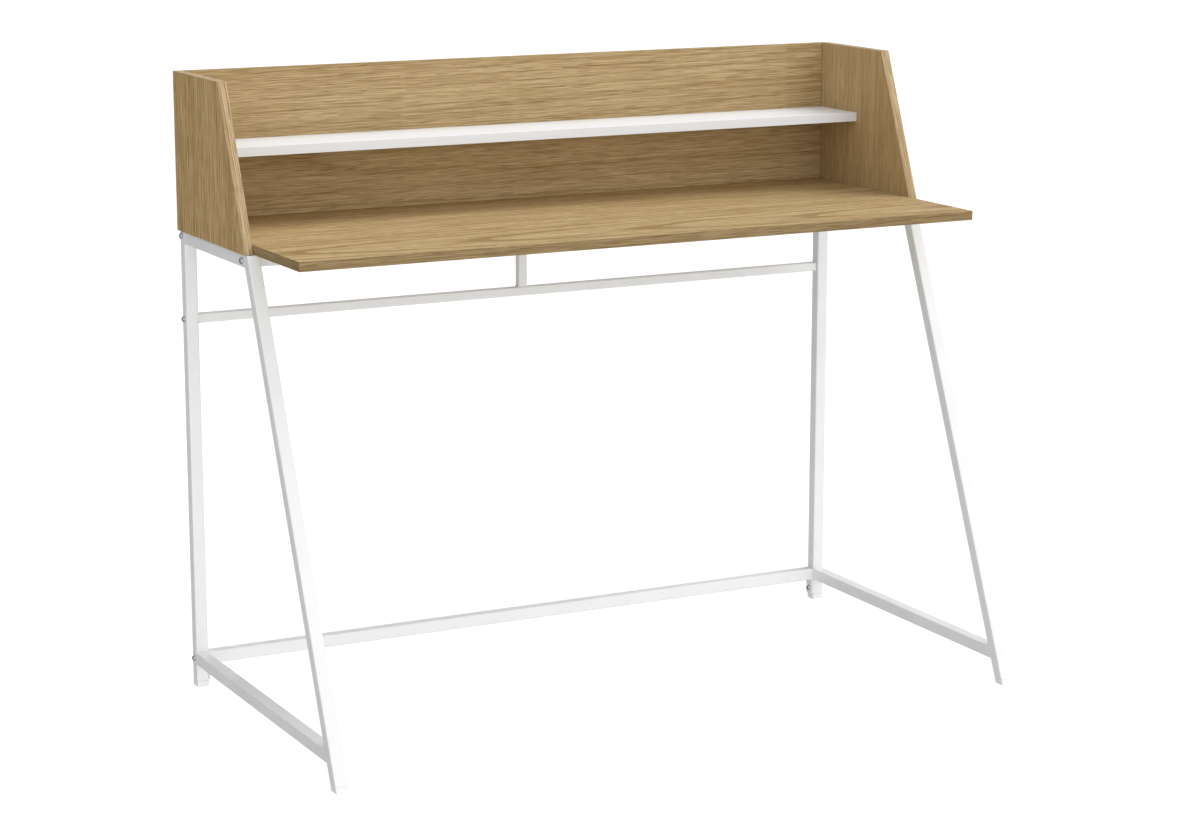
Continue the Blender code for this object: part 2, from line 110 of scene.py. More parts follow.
class Pick(Enum):
    """Kinds of element that a shaping step selects."""

    VERT = "verts"
    EDGE = "edges"
    FACE = "faces"


# Colours and shader nodes


def to_linear(colour: str) -> tuple[float, ...]:
    """Turns an sRGB colour into linear light.

    Args:
        colour: The colour as #RRGGBB.

    Returns:
        Red, green, blue and alpha.
    """
    shares = [channel / 255 for channel in bytes.fromhex(colour[1:])]
    light = [s / 12.92 if s <= 0.04045 else ((s + 0.055) / 1.055) ** 2.4 for s in shares]
    return (*light, 1.0)


def add_node(
    tree: NodeTree,
    kind: str,
    settings: dict[str | int, Any] | None = None,
    links: dict[str | int, NodeSocket] | None = None,
) -> Node:
    """Adds a shader node with its settings and links.

    Args:
        tree: The material's node tree.
        kind: The node's type, without the word ShaderNode.
        settings: Values by property or input name. "stops" holds a ramp's places and colours.
        links: Sockets by the input they feed.

    Returns:
        The new node.
    """
    node = tree.nodes.new(f"ShaderNode{kind}")
    for name, value in (settings or {}).items():
        if name == "stops":
            while len(node.color_ramp.elements) < len(value):
                node.color_ramp.elements.new(1.0)
            for stop, (place, colour) in zip(node.color_ramp.elements, value):
                stop.position = place
                stop.color = to_linear(colour)
        elif isinstance(name, int) or name in node.inputs:
            node.inputs[name].default_value = value
        else:
            setattr(node, name, value)
    for name, socket in (links or {}).items():
        tree.links.new(socket, node.inputs[name])
    return node


def remap(
    tree: NodeTree,
    value: NodeSocket,
    source: Pair,
    target: Pair = UNIT,
    shape: str = "LINEAR",
) -> NodeSocket:
    """Stretches one range of values onto another.

    Args:
        tree: The material's node tree.
        value: The value's socket.
        source: The range that is stretched.
        target: The range it is stretched onto.
        shape: The curve between the ends.

    Returns:
        The new value's socket.
    """
    settings = {"interpolation_type": shape, "From Min": source[0], "From Max": source[1]}
    settings |= {"To Min": target[0], "To Max": target[1]}
    return add_node(tree, "MapRange", settings, {"Value": value}).outputs["Result"]


def streaks(tree: NodeTree, where: NodeSocket, size: Pair, detail: float, rough: float) -> Node:
    """Adds noise that is drawn out along X.

    Args:
        tree: The material's node tree.
        where: The coordinates' socket.
        size: Length and width of the broadest streaks.
        detail: Count of the finer layers over them.
        rough: Strength of each finer layer.

    Returns:
        The noise node.
    """
    length, width = size
    scale = {"Scale": (1 / length, 1 / width, 1 / width)}
    place = add_node(tree, "Mapping", scale, {"Vector": where})
    look = {"Scale": 1.0, "Detail": detail, "Roughness": rough}
    return add_node(tree, "TexNoise", look, {"Vector": place.outputs["Vector"]})


def ramp(tree: NodeTree, value: NodeSocket, *stops: tuple[float, str]) -> NodeSocket:
    """Turns a value into a colour between stops."""
    return add_node(tree, "ValToRGB", {"stops": stops}, {"Fac": value}).outputs["Color"]


# Finishes


@dataclass(frozen=True)
class Finish:
    """Surface finish that turns itself into one material."""

    name: str
    slot: Slot
    relief: Pair = (0.3, 0.00005)  # strength of the bumps, and their height in metres

    def material(self) -> Material:
        """Returns the finish's material, which is made on first use."""
        made = bpy.data.materials.get(self.name)
        if made is None:
            made = bpy.data.materials.new(self.name)
            made.use_nodes = True
            self.paint(made.node_tree, made.node_tree.nodes["Principled BSDF"])
        return made

    def paint(self, tree: NodeTree, shader: Node) -> None:
        """Adds the finish's own nodes to the shader."""
        raise NotImplementedError

    def lay(
        self,
        tree: NodeTree,
        shader: Node,
        colour: NodeSocket,
        height: NodeSocket,
        gloss: NodeSocket | None = None,
    ) -> None:
        """Feeds the finish's colour, relief and roughness into its shader.

        Args:
            tree: The material's node tree.
            shader: The material's shader.
            colour: The colour's socket.
            height: The relief's socket.
            gloss: The roughness's socket, if the roughness changes.
        """
        depth = {"Strength": self.relief[0], "Distance": self.relief[1]}
        bump = add_node(tree, "Bump", depth, {"Height": height})
        tree.links.new(colour, shader.inputs["Base Color"])
        tree.links.new(bump.outputs["Normal"], shader.inputs["Normal"])
        if gloss is not None:
            tree.links.new(gloss, shader.inputs["Roughness"])


@dataclass(frozen=True)
class OakLaminate(Finish):
    """Oak-print melamine: long fine streaks, arched ring lines, dark pores and a low satin sheen."""

    grain: Grain = Grain.ACROSS
    heart: tuple[float, float, float] = (0.0, 0.0, 0.2)  # the board's place in its trunk
    tilt: Pair = (0.8, 0.5)  # degrees between the trunk and the board
    light: str = "#C5AC84"
    middle: str = "#B39A70"
    dark: str = "#997F55"
    pore: str = "#816741"
    ring: float = 0.0075
    line: float = 0.09  # how dark a ring begins
    early_share: float = 0.35  # of a ring that its dark beginning takes
    streak: Pair = (0.60, 0.0016)  # length and width of the broadest streaks
    cloud: Pair = (1.4, 0.030)  # length and width of the broad bands
    cloud_share: float = 0.30
    contrast: Pair = (0.44, 0.83)  # levels of the dark and the light tone
    pore_size: Pair = (0.040, 0.0009)  # drawn three times as wide as a real pore
    pore_edge: Pair = (0.54, 0.60)  # levels where a pore begins and where it is full
    pore_depth: float = 0.50
    pore_early: float = 0.25  # added depth where a ring begins
    wander: Pair = (0.60, 0.060)  # length and width of the bends in the rings
    wander_detail: float = 0.5
    wander_reach: float = 0.005
    roughness: Pair = (0.50, 0.62)
    relief: Pair = (0.25, 0.00025)
    sheen: float = 0.1

    def paint(self, tree: NodeTree, shader: Node) -> None:
        """Adds streaks, ring lines and pores, all along the grain.

        Args:
            tree: The material's node tree.
            shader: The material's shader.
        """
        turn = [math.radians(angle) for angle in self.grain.value]
        turn[1] += math.radians(self.tilt[0])
        turn[2] += math.radians(self.tilt[1])
        here = add_node(tree, "TexCoord").outputs["Object"]
        lie = {"Rotation": turn, "Location": self.heart}
        trunk = add_node(tree, "Mapping", lie, {"Vector": here}).outputs["Vector"]

        def blend(value: NodeSocket, share: float, rest: Any) -> NodeSocket:
            """Adds a share of one value to the rest."""
            settings = {"operation": "MULTIPLY_ADD", 1: share}
            links = {0: value}
            (settings if isinstance(rest, float) else links)[2] = rest
            return add_node(tree, "Math", settings, links).outputs[0]

        reach = (0.0, self.wander_reach, self.wander_reach)
        wander = streaks(tree, trunk, self.wander, self.wander_detail, rough=0.55)
        bend = {0: wander.outputs["Color"], 2: trunk}
        bent = add_node(tree, "VectorMath", {"operation": "MULTIPLY_ADD", 1: reach}, bend)
        look = {
            "wave_type": "RINGS",
            "rings_direction": "X",
            "wave_profile": "SAW",
            "Scale": math.tau / (WAVE_PHASE * self.ring),
        }
        rings = add_node(tree, "TexWave", look, {"Vector": bent.outputs["Vector"]}).outputs["Fac"]
        early = remap(tree, rings, (0.0, self.early_share), (1.0, 0.0), "SMOOTHSTEP")
        fibres = streaks(tree, trunk, self.streak, detail=3.0, rough=0.62).outputs["Fac"]
        cloud = streaks(tree, trunk, self.cloud, detail=2.0, rough=0.6).outputs["Fac"]
        mixed = blend(early, -self.line, blend(cloud, self.cloud_share, fibres))
        level = remap(tree, mixed, self.contrast)
        wood = ramp(tree, level, (0.0, self.dark), (0.5, self.middle), (1.0, self.light))

        pores = streaks(tree, trunk, self.pore_size, detail=0.0, rough=0.5).outputs["Fac"]
        dash = remap(tree, pores, self.pore_edge, shape="SMOOTHSTEP")
        weight = blend(early, self.pore_early, self.pore_depth)
        depth = add_node(tree, "Math", {"operation": "MULTIPLY"}, {0: dash, 1: weight}).outputs[0]
        tint = {"data_type": "RGBA", MIX_B: to_linear(self.pore)}
        colour = add_node(tree, "Mix", tint, {MIX_FACTOR: depth, MIX_A: wood}).outputs[MIX_RESULT]
        gloss = remap(tree, fibres, UNIT, self.roughness[::-1])
        shader.inputs["Specular IOR Level"].default_value = self.sheen
        self.lay(tree, shader, colour, blend(depth, -1.0, fibres), gloss)


@dataclass(frozen=True)
class WhiteLaminate(Finish):
    """White melamine pressed with a wood texture, which shows more in gloss than in colour."""

    # Painted light: these whites are tinted cool to cancel the warm light that the oak bounces onto the
    # shelf.
    bright: str = "#F8FBFF"
    shade: str = "#F5F8FC"
    fibre: Pair = (0.140, 0.0035)  # length and width of the pressed grain
    tones: Pair = (0.30, 0.52)  # levels of the shade and of the bright tone
    roughness: Pair = (0.40, 0.50)

    def paint(self, tree: NodeTree, shader: Node) -> None:
        """Adds a faint pressed grain along X.

        Args:
            tree: The material's node tree.
            shader: The material's shader.
        """
        here = add_node(tree, "TexCoord").outputs["Object"]
        fibres = streaks(tree, here, self.fibre, detail=4.0, rough=0.6).outputs["Fac"]
        colour = ramp(tree, fibres, *zip(self.tones, (self.shade, self.bright)))
        gloss = remap(tree, fibres, UNIT, self.roughness[::-1])
        self.lay(tree, shader, colour, fibres, gloss)


@dataclass(frozen=True)
class SprayedCoat(Finish):
    """Even coat over a fine lumpy skin, as of baked powder or of plastic from a spark-eroded mould."""

    bright: str = "#ECEDED"
    shade: str = "#E8E9E9"
    lump: float = 0.0022  # drawn three times as wide as real orange peel
    patch: float = 0.060  # width of the slow changes
    tones: Pair = (0.35, 0.65)  # levels of the shade and of the bright tone
    roughness: Pair = (0.30, 0.42)
    relief: Pair = (0.5, 0.000012)

    def paint(self, tree: NodeTree, shader: Node) -> None:
        """Adds slow changes of tone and gloss, and the lumpy skin.

        Args:
            tree: The material's node tree.
            shader: The material's shader.
        """
        here = add_node(tree, "TexCoord").outputs["Object"]
        look = {"Scale": 1 / self.patch, "Detail": 3.0}
        patches = add_node(tree, "TexNoise", look, {"Vector": here}).outputs["Fac"]
        colour = ramp(tree, patches, *zip(self.tones, (self.shade, self.bright)))
        gloss = remap(tree, patches, NOISE_SPAN, self.roughness)
        skin = {"Scale": 1 / self.lump, "Detail": 2.0}
        lumps = add_node(tree, "TexNoise", skin, {"Vector": here}).outputs["Fac"]
        self.lay(tree, shader, colour, lumps, gloss)


@dataclass(frozen=True)
class ZincPlate(Finish):
    """Bright zinc over turned or pressed steel: a cool grey mirror, broken by rings from the tool."""

    turned: bool = True
    bright: str = "#D3D6D9"
    shade: str = "#A9ADB2"
    mark: float = 0.0004  # drawn twice as wide as the real tool marks
    roughness: Pair = (0.16, 0.34)
    relief: Pair = (0.2, 0.00003)

    def paint(self, tree: NodeTree, shader: Node) -> None:
        """Adds tool marks that follow the radius of a turned piece.

        Args:
            tree: The material's node tree.
            shader: The material's shader.
        """
        if self.turned:
            here = add_node(tree, "UVMap", {"uv_map": Turning.MAP}).outputs["UV"]
        else:
            here = add_node(tree, "TexCoord").outputs["Object"]
        look = {"Scale": 1 / self.mark, "Detail": 2.0}
        marks = add_node(tree, "TexNoise", look, {"Vector": here}).outputs["Fac"]
        colour = ramp(tree, marks, *zip(NOISE_SPAN, (self.shade, self.bright)))
        gloss = remap(tree, marks, NOISE_SPAN, self.roughness)
        shader.inputs["Metallic"].default_value = 1.0
        self.lay(tree, shader, colour, marks, gloss)


@dataclass(frozen=True)
class PressedChips(Finish):
    """Bare pressed wood: the chips of a sawn board, or the short flecks of a beech dowel."""

    chip: Pair = (0.004, 0.0012)  # length and width
    stops: tuple[tuple[float, str], ...] = ((0.2, "#8C6F48"), (0.5, "#B4956A"), (0.8, "#CDB288"))
    roughness: float = 0.75
    relief: Pair = (0.4, 0.0002)

    def paint(self, tree: NodeTree, shader: Node) -> None:
        """Adds short flecks along X.

        Args:
            tree: The material's node tree.
            shader: The material's shader.
        """
        here = add_node(tree, "TexCoord").outputs["Object"]
        flecks = streaks(tree, here, self.chip, detail=3.0, rough=0.65).outputs["Fac"]
        shader.inputs["Roughness"].default_value = self.roughness
        self.lay(tree, shader, ramp(tree, flecks, *self.stops), flecks)


# Shaping by operators


def deselect() -> None:
    """Leaves no object selected."""
    bpy.ops.object.select_all(action="DESELECT")


def take(item: Object) -> None:
    """Makes one object the only selected one."""
    deselect()
    bpy.context.view_layer.objects.active = item
    item.select_set(True)


@contextmanager
def shaping(item: Object) -> Iterator[None]:
    """Holds an object in edit mode."""
    take(item)
    bpy.ops.object.mode_set(mode="EDIT")
    yield
    bpy.ops.object.mode_set(mode="OBJECT")


def pick(item: Object, kind: Pick, wanted: Test) -> None:
    """Selects elements of an object in edit mode, and nothing else.

    Args:
        item: The object.
        kind: Which kind of element.
        wanted: Test on an element's middle and on its normal, or its direction for an edge.
    """
    bpy.ops.mesh.select_mode(type=kind.name)
    bpy.ops.mesh.select_all(action="DESELECT")
    shape = bmesh.from_edit_mesh(item.data)
    for element in getattr(shape, kind.value):
        if kind is Pick.VERT:
            middle, line = element.co, element.normal
        elif kind is Pick.EDGE:
            ends = [vert.co for vert in element.verts]
            middle, line = (ends[0] + ends[1]) / 2, (ends[1] - ends[0]).normalized()
        else:
            middle, line = element.calc_center_median(), element.normal
        element.select_set(wanted(middle, line))
    shape.select_flush_mode()
    bmesh.update_edit_mesh(item.data)


def slide(item: Object, wanted: Test, by: Vector) -> None:
    """Moves an object's picked corners."""
    pick(item, Pick.VERT, wanted)
    bpy.ops.transform.translate(value=by)


def soften(item: Object, wanted: Test, radius: float, steps: int) -> None:
    """Rounds an object's picked edges."""
    pick(item, Pick.EDGE, wanted)
    bpy.ops.mesh.bevel(offset=radius, segments=steps, profile=0.5, affect="EDGES")


def added(name: str) -> Object:
    """Names the object that was just added, and puts its place into its mesh."""
    bpy.ops.object.transform_apply(location=True, rotation=True, scale=True)
    item = bpy.context.object
    item.name = item.data.name = name
    return item


def block(name: str, low: Vector, high: Vector) -> Object:
    """Adds a block that fills a box.

    Args:
        name: The object's name.
        low: The box's lowest corner.
        high: The box's highest corner.

    Returns:
        The block, with its place in its mesh.
    """
    deselect()
    bpy.ops.mesh.primitive_cube_add(size=1, location=(low + high) / 2, scale=high - low)
    return added(name)


def rod(name: str, radius: float, low: float, high: float, sides: int) -> Object:
    """Adds a rod along Z.

    Args:
        name: The object's name.
        radius: The rod's radius.
        low: Height of its lower end.
        high: Height of its upper end.
        sides: Count of its sides.

    Returns:
        The rod, with its place in its mesh.
    """
    deselect()
    middle = (0, 0, (low + high) / 2)
    bpy.ops.mesh.primitive_cylinder_add(
        vertices=sides, radius=radius, depth=high - low, location=middle
    )
    return added(name)


def cut(item: Object, tool: Object) -> None:
    """Cuts a tool out of an object, and removes the tool."""
    take(item)
    modifier = item.modifiers.new("cut", "BOOLEAN")
    modifier.operation = "DIFFERENCE"
    modifier.solver = "EXACT"
    modifier.object = tool
    bpy.ops.object.modifier_apply(modifier=modifier.name)
    bpy.data.meshes.remove(tool.data)


def join(item: Object, *others: Object) -> None:
    """Joins other objects into one."""
    take(item)
    for other in others:
        other.select_set(True)
    bpy.ops.object.join()


def copy_to(item: Object, name: str, place: Vector, outward: Vector) -> Object:
    """Copies an object modelled at the origin to its place.

    Args:
        item: The object, with its own outward direction along +Z.
        name: The copy's name.
        place: Where the object's origin goes.
        outward: Where its +Z points.

    Returns:
        The copy, which has its own mesh with its place in it.
    """
    twin = item.copy()
    twin.data = item.data.copy()
    twin.name = twin.data.name = name
    turn = UP.rotation_difference(outward).to_matrix().to_4x4()
    twin.data.transform(Matrix.Translation(place) @ turn)
    bpy.context.scene.collection.objects.link(twin)
    return twin


def polish(item: Object, angle: float = SMOOTH) -> None:
    """Smooths the round stretches of an object and keeps its flats flat."""
    take(item)
    bpy.ops.object.shade_smooth_by_angle(angle=math.radians(angle))
    modifier = item.modifiers.new("flats", "WEIGHTED_NORMAL")
    modifier.keep_sharp = True
    bpy.ops.object.modifier_apply(modifier=modifier.name)


def hand_over(item: Object, finish: Finish, *nodes: str) -> None:
    """Lets a finished piece ride on the desk in place of its solids.

    Args:
        item: The piece.
        finish: The finish whose material it wears when it has none of its own.
        nodes: The solids it stands for.
    """
    if not item.data.materials:
        item.data.materials.append(finish.material())
    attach(item, BODY)
    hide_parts(*nodes)
    log.info("%s: %s, %d faces", item.name, finish.name, len(item.data.polygons))


# Boards


@dataclass
class Board:
    """Laminated board with softened edges, whose faces and edge bands have their own finishes."""

    node: str
    faces: tuple[tuple[Vector, Finish], ...]  # finish by the direction that a face looks in
    arris: float = 0.0007
    arris_steps: int = 3
    pockets: Pockets = ()
    pocket_radius: float = 0.0063
    pocket_depth: float = 0.0133
    pocket_sides: int = 40
    core: Finish | None = None  # shows in the pockets

    def build(self) -> None:
        """Models and dresses the board."""
        item = self.blank()
        with shaping(item):
            soften(item, lambda middle, along: True, self.arris, self.arris_steps)
        for mouth, inward in self.pockets:
            self.bore(item, mouth, inward)
        self.dress(item)
        polish(item)
        hand_over(item, self.faces[0][1], self.node)

    def blank(self) -> Object:
        """Adds the board's block."""
        return block(f"{self.node}_board", *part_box(self.node))

    def bore(self, item: Object, mouth: Vector, inward: Vector) -> None:
        """Bores a round pocket for a cam.

        Args:
            item: The board.
            mouth: Middle of the pocket's mouth.
            inward: The way in.
        """
        tool = rod("pocket", self.pocket_radius, -OVERCUT, self.pocket_depth, self.pocket_sides)
        placed = copy_to(tool, "pocket_cut", mouth, inward)
        bpy.data.meshes.remove(tool.data)
        cut(item, placed)

    def dress(self, item: Object) -> None:
        """Gives each face the finish of the direction it looks in, and bare chips to the pockets."""
        item.data.materials.clear()
        for _, finish in self.faces:
            item.data.materials.append(finish.material())
        if self.core:
            item.data.materials.append(self.core.material())
        low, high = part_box(self.node)
        reach = self.arris * 1.5  # faces deeper than this lie in a pocket
        for face in item.data.polygons:
            best = max(range(len(self.faces)), key=lambda i: self.faces[i][0].dot(face.normal))
            inside = all(low[i] + reach < face.center[i] < high[i] - reach for i in range(3))
            face.material_index = len(self.faces) if self.core and inside else best


@dataclass
class SidePanel(Board):
    """Side board whose front edge slants back towards the top."""

    slant: float = 0.101  # how far the top's front edge stands back

    def blank(self) -> Object:
        """Adds the block, and moves its upper front edge back."""
        item = super().blank()
        low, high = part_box(self.node)
        top, front = (low.z + high.z) / 2, (low.y + high.y) / 2
        with shaping(item):
            slide(item, lambda p, n: p.z > top and p.y < front, Vector((0, self.slant, 0)))
        return item


# Steel frame


@dataclass
class TubeWork:
    """Square steel tube with rolled corners, cut to fit its neighbours."""

    coat: Finish
    bead: Object  # the weld that is copied to the corners
    corner: float = 0.002
    corner_steps: int = 4
    wall: float = 0.0012
    mouth: float = 0.020  # how far an open end can be looked into
    end_arris: float = 0.0004

    def tube(self, node: str, low: Vector, high: Vector) -> Object:
        """Adds a tube that fills a box, still with sharp corners."""
        return block(f"{node}_tube", low, high)

    def roll(self, item: Object, along: Vector) -> None:
        """Rounds a tube's long edges."""
        with shaping(item):
            soften(item, lambda p, line: abs(line.dot(along)) > ALONG, self.corner, self.corner_steps)

    def open_end(self, item: Object, outward: Vector, inward: Vector) -> None:
        """Hollows out one end of a tube.

        Args:
            item: The tube.
            outward: The way the end looks.
            inward: The way into the tube.
        """
        with shaping(item):
            pick(item, Pick.FACE, lambda p, n: n.dot(outward) > FACING)
            bpy.ops.mesh.inset(thickness=self.wall)
            bpy.ops.mesh.extrude_region_move(TRANSFORM_OT_translate={"value": inward * self.mouth})

    def finish(self, item: Object, *nodes: str) -> None:
        """Polishes a piece and lets it ride on the desk."""
        polish(item)
        hand_over(item, self.coat, *nodes)


@dataclass
class WeldBead:
    """Coated weld: a short row of overlapping ripples, modelled once along X."""

    radius: float = 0.0016
    pitch: float = 0.0015
    length: float = 0.0165
    segments: int = 14
    rings: int = 8

    def build(self) -> Object:
        """Models the bead about the origin.

        Returns:
            The bead, with its ripples in a row along X.
        """
        deselect()
        bpy.ops.mesh.primitive_uv_sphere_add(
            segments=self.segments, ring_count=self.rings, radius=self.radius
        )
        item = added("weld_bead")
        count = int(self.length / self.pitch)
        modifier = item.modifiers.new("ripples", "ARRAY")
        modifier.count = count
        modifier.use_relative_offset = False
        modifier.use_constant_offset = True
        modifier.constant_offset_displace = (self.pitch, 0, 0)
        bpy.ops.object.modifier_apply(modifier=modifier.name)
        item.data.transform(Matrix.Translation((-self.pitch * (count - 1) / 2, 0, 0)))
        return item


@dataclass
class SideFrame(TubeWork):
    """One welded side: an upright rear leg, a leaning front leg and two rails between them."""

    side: Side = Side.LEFT
    fill: float = 0.0023  # rails reach this far into a leg, where the weld fills its round corner

    def build(self) -> None:
        """Models and dresses the legs and rails."""
        self.rear_leg()
        self.front_leg()
        for rail in ("top_rail", "bottom_rail"):
            self.rail(f"{self.side.word}_{rail}")

    def rear_leg(self) -> None:
        """Models the upright leg."""
        node = f"{self.side.word}_rear_leg"
        item = self.tube(node, *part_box(node))
        self.roll(item, UP)
        self.open_end(item, UP, -UP)
        self.finish(item, node)

    def front_leg(self) -> None:
        """Models the leaning leg, as a block whose top slides back."""
        node = f"{self.side.word}_front_leg"
        low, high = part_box(node)
        back = Vector((0, LEAN * (high.z - low.z), 0))
        item = self.tube(node, low, high - back)
        along = Vector((0, LEAN, 1)).normalized()
        middle = (low.z + high.z) / 2
        with shaping(item):
            slide(item, lambda p, n: p.z > middle, back)
        self.roll(item, along)
        self.open_end(item, UP, -along)
        self.finish(item, node)

    def rail(self, node: str) -> None:
        """Models a rail whose front end is cut along the leaning leg.

        Args:
            node: The solid it stands for.
        """
        low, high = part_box(node)
        stretch = math.hypot(1, LEAN)
        front = Vector((low.x, low.y - self.fill * stretch, low.z))
        rear = Vector((high.x, high.y + self.fill, high.z))
        item = self.tube(node, front, rear)
        middle = (low + high) / 2
        back = Vector((0, LEAN * (high.z - low.z), 0))
        with shaping(item):
            slide(item, lambda p, n: p.y < middle.y and p.z > middle.z, back)
        self.roll(item, BACK)
        corners = [(low.y, low.z), (high.y, low.z), (low.y + back.y, high.z), (high.y, high.z)]
        if node.endswith("top_rail"):
            corners = corners[:2]
        join(item, *(copy_to(self.bead, "bead", Vector((middle.x, y, z)), UP) for y, z in corners))
        self.finish(item, node)


@dataclass
class CrossMembers(TubeWork):
    """Tubes from side to side: the rear rails and their post, the crossbar and the bottom stretcher."""

    plate: float = 0.0025  # thickness of an ear
    ear_corner: float = 0.003
    ear_corner_steps: int = 5
    ear_inset: float = 0.0005  # how far an ear stands back from the tube's faces
    ear_overlap: float = 0.004  # how far an ear reaches up into the tube
    ear_arris_steps: int = 2
    stretcher_half: float = 0.010  # half of its height
    post_bead: float = 0.7  # length of the post's beads against the rails'

    def build(self) -> None:
        """Models and dresses the five tubes."""
        for node in ("rear_top_rail", "rear_mid_rail", "front_crossbar"):
            item = self.bar(node, *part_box(node))
            self.finish(item, node)
        self.post()
        self.stretcher()

    def bar(self, node: str, low: Vector, high: Vector) -> Object:
        """Models a tube along X that is closed by its end plates.

        Args:
            node: The solid it stands for.
            low: The tube's lowest corner.
            high: The tube's highest corner.

        Returns:
            The tube.
        """
        item = self.tube(node, low, high)
        self.roll(item, RIGHT)
        with shaping(item):
            pick(item, Pick.FACE, lambda p, n: abs(n.x) > FACING)
            bpy.ops.mesh.inset(thickness=self.end_arris, depth=self.end_arris, use_individual=True)
        with shaping(item):
            pick(item, Pick.FACE, lambda p, n: abs(n.x) > FACING)
            bpy.ops.transform.resize(value=(self.squeeze(low, high), 1, 1), center_override=(0, 0, 0))
        return item

    def squeeze(self, low: Vector, high: Vector) -> float:
        """Scale that brings the raised ends back onto the solid's own ends."""
        return (high.x - low.x) / (high.x - low.x + 2 * self.end_arris)

    def post(self) -> None:
        """Models the centre post with its welds."""
        node = "rear_centre_post"
        low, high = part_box(node)
        item = self.tube(node, low, high)
        self.roll(item, UP)
        middle = (low + high) / 2
        turned = copy_to(self.bead, "turned_bead", Vector(), UP)
        shorter = Matrix.Scale(self.post_bead, 4, RIGHT)
        turned.data.transform(Matrix.Rotation(math.pi / 2, 4, "Z") @ shorter)
        beads = [
            copy_to(turned, "bead", Vector((x, middle.y, z)), UP)
            for x in (low.x, high.x)
            for z in (low.z, high.z)
        ]
        bpy.data.meshes.remove(turned.data)
        join(item, *beads)
        self.finish(item, node)

    def stretcher(self) -> None:
        """Models the bottom stretcher with the ears that reach down to the feet."""
        node = "bottom_stretcher"
        low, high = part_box(node)
        base = Vector((low.x, low.y, high.z - 2 * self.stretcher_half))
        item = self.bar(node, base, high)
        ears = []
        for side in Side:
            end = low.x if side is Side.LEFT else high.x
            near, far = sorted((end, end - side.value * self.plate))
            foot = Vector((near, low.y + self.ear_inset, low.z))
            head = Vector((far, high.y - self.ear_inset, base.z + self.ear_overlap))
            ear = block("ear", foot, head)
            with shaping(ear):
                soften(
                    ear,
                    lambda p, line: abs(line.x) > ALONG and p.z < base.z,
                    self.ear_corner,
                    self.ear_corner_steps,
                )
            with shaping(ear):
                soften(ear, lambda p, line: abs(line.x) < ALONG, self.end_arris, self.ear_arris_steps)
            ears.append(ear)
        join(item, *ears)
        self.finish(item, node)


@dataclass
class Feet:
    """Plastic caps under the legs, with a shadow line at the tube and a hollow underneath."""

    plastic: Finish
    height: float = 0.0095
    depth: float = 0.02169  # of a front cap, front to back
    corner: float = 0.002
    corner_steps: int = 4
    rim: float = 0.0005
    rim_steps: int = 2
    sole: float = 0.0010
    sole_steps: int = 3
    hollow: float = 0.0025  # width of the sole's rim, and its height

    def build(self) -> None:
        """Models and dresses the four caps."""
        for side in Side:
            self.cap(f"{side.word}_rear_foot", f"{side.word}_rear_leg", 0.0)
            self.cap(f"{side.word}_front_foot", f"{side.word}_front_leg", LEAN)

    def cap(self, node: str, leg: str, lean: float) -> None:
        """Models one cap.

        Args:
            node: The solid it stands for.
            leg: The leg above it.
            lean: How far the leg goes back for each unit of height.
        """
        low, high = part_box(leg)
        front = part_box(node)[0].y
        rear = front + self.depth if lean else high.y
        item = block(f"{node}_cap", Vector((low.x, front, 0)), Vector((high.x, rear, self.height)))
        along = Vector((0, lean, 1)).normalized()
        with shaping(item):
            slide(item, lambda p, n: p.z > self.height / 2, Vector((0, lean * self.height, 0)))
            soften(item, lambda p, line: abs(line.dot(along)) > ALONG, self.corner, self.corner_steps)
        with shaping(item):
            soften(item, lambda p, line: p.z > self.height - TINY, self.rim, self.rim_steps)
        with shaping(item):
            soften(item, lambda p, line: p.z < TINY, self.sole, self.sole_steps)
        with shaping(item):
            pick(item, Pick.FACE, lambda p, n: n.z < -FACING)
            bpy.ops.mesh.inset(thickness=self.hollow)
            bpy.ops.mesh.extrude_region_move(TRANSFORM_OT_translate={"value": (0, 0, self.hollow)})
        polish(item)
        hand_over(item, self.plastic, node)


# Fittings


def named(ending: str) -> list[str]:
    """Lists the solids whose names end in these words."""
    return [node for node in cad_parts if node.endswith(ending)]


class Turning:
    """Turned pieces, which carry their radius and height as a map for the tool marks."""

    MAP = "turned"
    SMOOTH = 30.0  # degrees between faces that are smoothed into one

    @classmethod
    def map_rings(cls, item: Object) -> None:
        """Writes each corner's radius and height about Z into the map."""
        mesh = item.data
        for layer in list(mesh.uv_layers):
            mesh.uv_layers.remove(layer)
        layer = mesh.uv_layers.new(name=cls.MAP)
        for loop in mesh.loops:
            spot = mesh.vertices[loop.vertex_index].co
            layer.uv[loop.index].vector = (spot.xy.length, spot.z)


